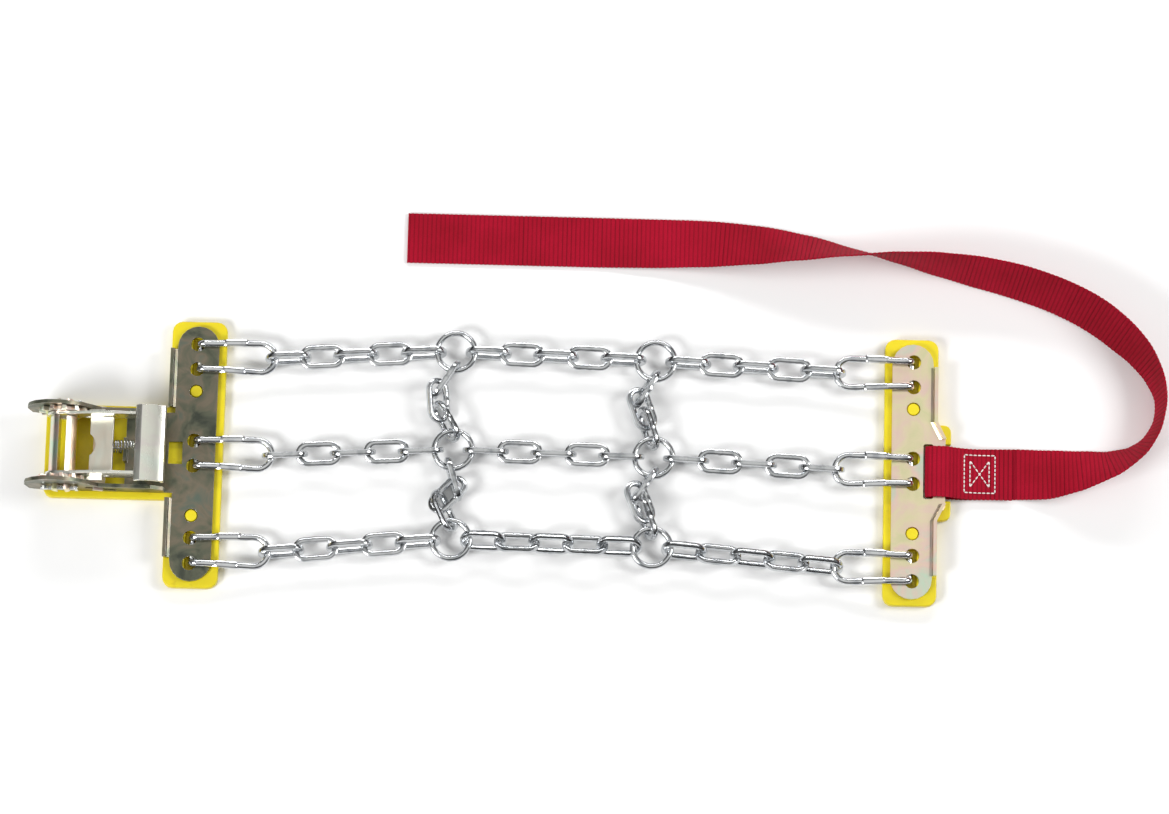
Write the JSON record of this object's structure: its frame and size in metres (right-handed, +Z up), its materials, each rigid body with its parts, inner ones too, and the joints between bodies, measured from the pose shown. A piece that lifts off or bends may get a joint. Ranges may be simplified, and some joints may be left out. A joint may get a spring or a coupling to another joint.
{
  "type": "tire snow chains",
  "caption": "Strap-on tyre snow chain: rows of welded chain between two rubber-padded plates, with a ratchet buckle and a webbing strap.",
  "frame": {"origin": "middle of the underside of the pads and chain, the strap not counted, on the surface it lies on", "axes": "+X from the ratchet plate along the chain rows to the strap plate, +Y across the tyre toward the upper row, +Z up off the tyre"},
  "size_m": [0.7698, 0.2655, 0.0449],
  "materials": {
    "chain_zinc": "bright zinc-plated drawn wire",
    "link_zinc": "bright zinc-plated wire, flattened where it overlaps",
    "green_zinc": "passivated zinc on pressed sheet, grey-green",
    "gold_zinc": "yellow-passivated zinc with pink and green tints",
    "yellow_pad": "smooth moulded yellow rubber",
    "red_webbing": "cross-ribbed polyester webbing"
  },
  "bodies": {
    "ratchet_frame": {"ratchet_plate": "green_zinc", "ratchet_pad": "yellow_pad", "lock_spring": "chain_zinc"},
    "lap_left": {"lap_link_left_upper": "link_zinc", "lap_link_left_middle": "link_zinc", "lap_link_left_lower": "link_zinc"},
    "span_1a": {"chain_upper_1a": "chain_zinc", "chain_middle_1a": "chain_zinc", "chain_lower_1a": "chain_zinc"},
    "span_1b": {"chain_upper_1b": "chain_zinc", "chain_middle_1b": "chain_zinc", "chain_lower_1b": "chain_zinc"},
    "span_1c": {"chain_upper_1c": "chain_zinc", "chain_middle_1c": "chain_zinc", "chain_lower_1c": "chain_zinc"},
    "ring_column_1": {"ring_1_upper": "chain_zinc", "ring_1_middle": "chain_zinc", "ring_1_lower": "chain_zinc", "cross_chain_1_upper": "chain_zinc", "cross_chain_1_lower": "chain_zinc"},
    "span_2a": {"chain_upper_2a": "chain_zinc", "chain_middle_2a": "chain_zinc", "chain_lower_2a": "chain_zinc"},
    "span_2b": {"chain_upper_2b": "chain_zinc", "chain_middle_2b": "chain_zinc", "chain_lower_2b": "chain_zinc"},
    "span_2c": {"chain_upper_2c": "chain_zinc", "chain_middle_2c": "chain_zinc", "chain_lower_2c": "chain_zinc"},
    "ring_column_2": {"ring_2_upper": "chain_zinc", "ring_2_middle": "chain_zinc", "ring_2_lower": "chain_zinc", "cross_chain_2_upper": "chain_zinc", "cross_chain_2_lower": "chain_zinc"},
    "span_3a": {"chain_upper_3a": "chain_zinc", "chain_middle_3a": "chain_zinc", "chain_lower_3a": "chain_zinc"},
    "span_3b": {"chain_upper_3b": "chain_zinc", "chain_middle_3b": "chain_zinc", "chain_lower_3b": "chain_zinc"},
    "span_3c": {"chain_upper_3c": "chain_zinc", "chain_middle_3c": "chain_zinc", "chain_lower_3c": "chain_zinc"},
    "lap_right": {"lap_link_right_upper": "link_zinc", "lap_link_right_middle": "link_zinc", "lap_link_right_lower": "link_zinc"},
    "strap_end": {"strap_plate": "gold_zinc", "strap_pad": "yellow_pad", "strap": "red_webbing"},
    "handle": {"handle": "green_zinc", "drive_spring": "chain_zinc"},
    "drive_pawl": {"drive_pawl": "gold_zinc"},
    "lock_pawl": {"lock_pawl": "gold_zinc"},
    "spool": {"spool_half_front": "gold_zinc", "spool_half_rear": "gold_zinc", "gear_upper": "gold_zinc", "gear_lower": "gold_zinc", "cotter_pin_upper": "chain_zinc", "cotter_pin_lower": "chain_zinc"}
  },
  "joints": [
    {"name": "lap_left_hinge", "type": "hinge", "parent": "ratchet_frame", "child": "lap_left", "pos_m": [-0.19945, 0, 0.00405], "axis": [0, 1, 0], "range_deg": [-20, 0]},
    {"name": "span_1a_hinge", "type": "hinge", "parent": "lap_left", "child": "span_1a", "pos_m": [-0.14785, 0, 0.0089], "axis": [0, 1, 0], "range_deg": [-15, 15]},
    {"name": "span_1b_hinge", "type": "hinge", "parent": "span_1a", "child": "span_1b", "pos_m": [-0.10235, 0, 0.0086], "axis": [0, 1, 0], "range_deg": [-15, 15]},
    {"name": "span_1c_hinge", "type": "hinge", "parent": "span_1b", "child": "span_1c", "pos_m": [-0.08385, 0, 0.0086], "axis": [0, 1, 0], "range_deg": [-15, 15]},
    {"name": "ring_column_1_hinge", "type": "hinge", "parent": "span_1c", "child": "ring_column_1", "pos_m": [-0.03805, 0, 0.0086], "axis": [0, 1, 0], "range_deg": [-15, 15]},
    {"name": "span_2a_hinge", "type": "hinge", "parent": "ring_column_1", "child": "span_2a", "pos_m": [-0.01205, 0, 0.0086], "axis": [0, 1, 0], "range_deg": [-15, 15]},
    {"name": "span_2b_hinge", "type": "hinge", "parent": "span_2a", "child": "span_2b", "pos_m": [0.03375, 0, 0.0086], "axis": [0, 1, 0], "range_deg": [-15, 15]},
    {"name": "span_2c_hinge", "type": "hinge", "parent": "span_2b", "child": "span_2c", "pos_m": [0.05225, 0, 0.0086], "axis": [0, 1, 0], "range_deg": [-15, 15]},
    {"name": "ring_column_2_hinge", "type": "hinge", "parent": "span_2c", "child": "ring_column_2", "pos_m": [0.09805, 0, 0.0086], "axis": [0, 1, 0], "range_deg": [-15, 15]},
    {"name": "span_3a_hinge", "type": "hinge", "parent": "ring_column_2", "child": "span_3a", "pos_m": [0.12405, 0, 0.0086], "axis": [0, 1, 0], "range_deg": [-15, 15]},
    {"name": "span_3b_hinge", "type": "hinge", "parent": "span_3a", "child": "span_3b", "pos_m": [0.16985, 0, 0.0086], "axis": [0, 1, 0], "range_deg": [-15, 15]},
    {"name": "span_3c_hinge", "type": "hinge", "parent": "span_3b", "child": "span_3c", "pos_m": [0.18835, 0, 0.0086], "axis": [0, 1, 0], "range_deg": [-15, 15]},
    {"name": "lap_right_hinge", "type": "hinge", "parent": "span_3c", "child": "lap_right", "pos_m": [0.23385, 0, 0.0089], "axis": [0, 1, 0], "range_deg": [-15, 15]},
    {"name": "strap_end_hinge", "type": "hinge", "parent": "lap_right", "child": "strap_end", "pos_m": [0.28545, 0, 0.00405], "axis": [0, 1, 0], "range_deg": [-20, 0]},
    {"name": "handle_swing", "type": "hinge", "parent": "ratchet_frame", "child": "handle", "pos_m": [-0.28795, 0, 0.025], "axis": [0, -1, 0], "range_deg": [0, 165]},
    {"name": "spool_spin", "type": "hinge", "parent": "ratchet_frame", "child": "spool", "pos_m": [-0.28795, 0, 0.025], "axis": [0, 1, 0], "continuous": true},
    {"name": "drive_pawl_slide", "type": "slide", "parent": "handle", "child": "drive_pawl", "axis": [0.9848, 0, 0.1736], "range_m": [-0.004, 0.003], "stiffness_N_per_m": 400, "deforming": ["drive_spring"]},
    {"name": "lock_pawl_slide", "type": "slide", "parent": "ratchet_frame", "child": "lock_pawl", "axis": [0.9397, 0, -0.342], "range_m": [0, 0.006], "stiffness_N_per_m": 400, "deforming": ["lock_spring"]}
  ]
}
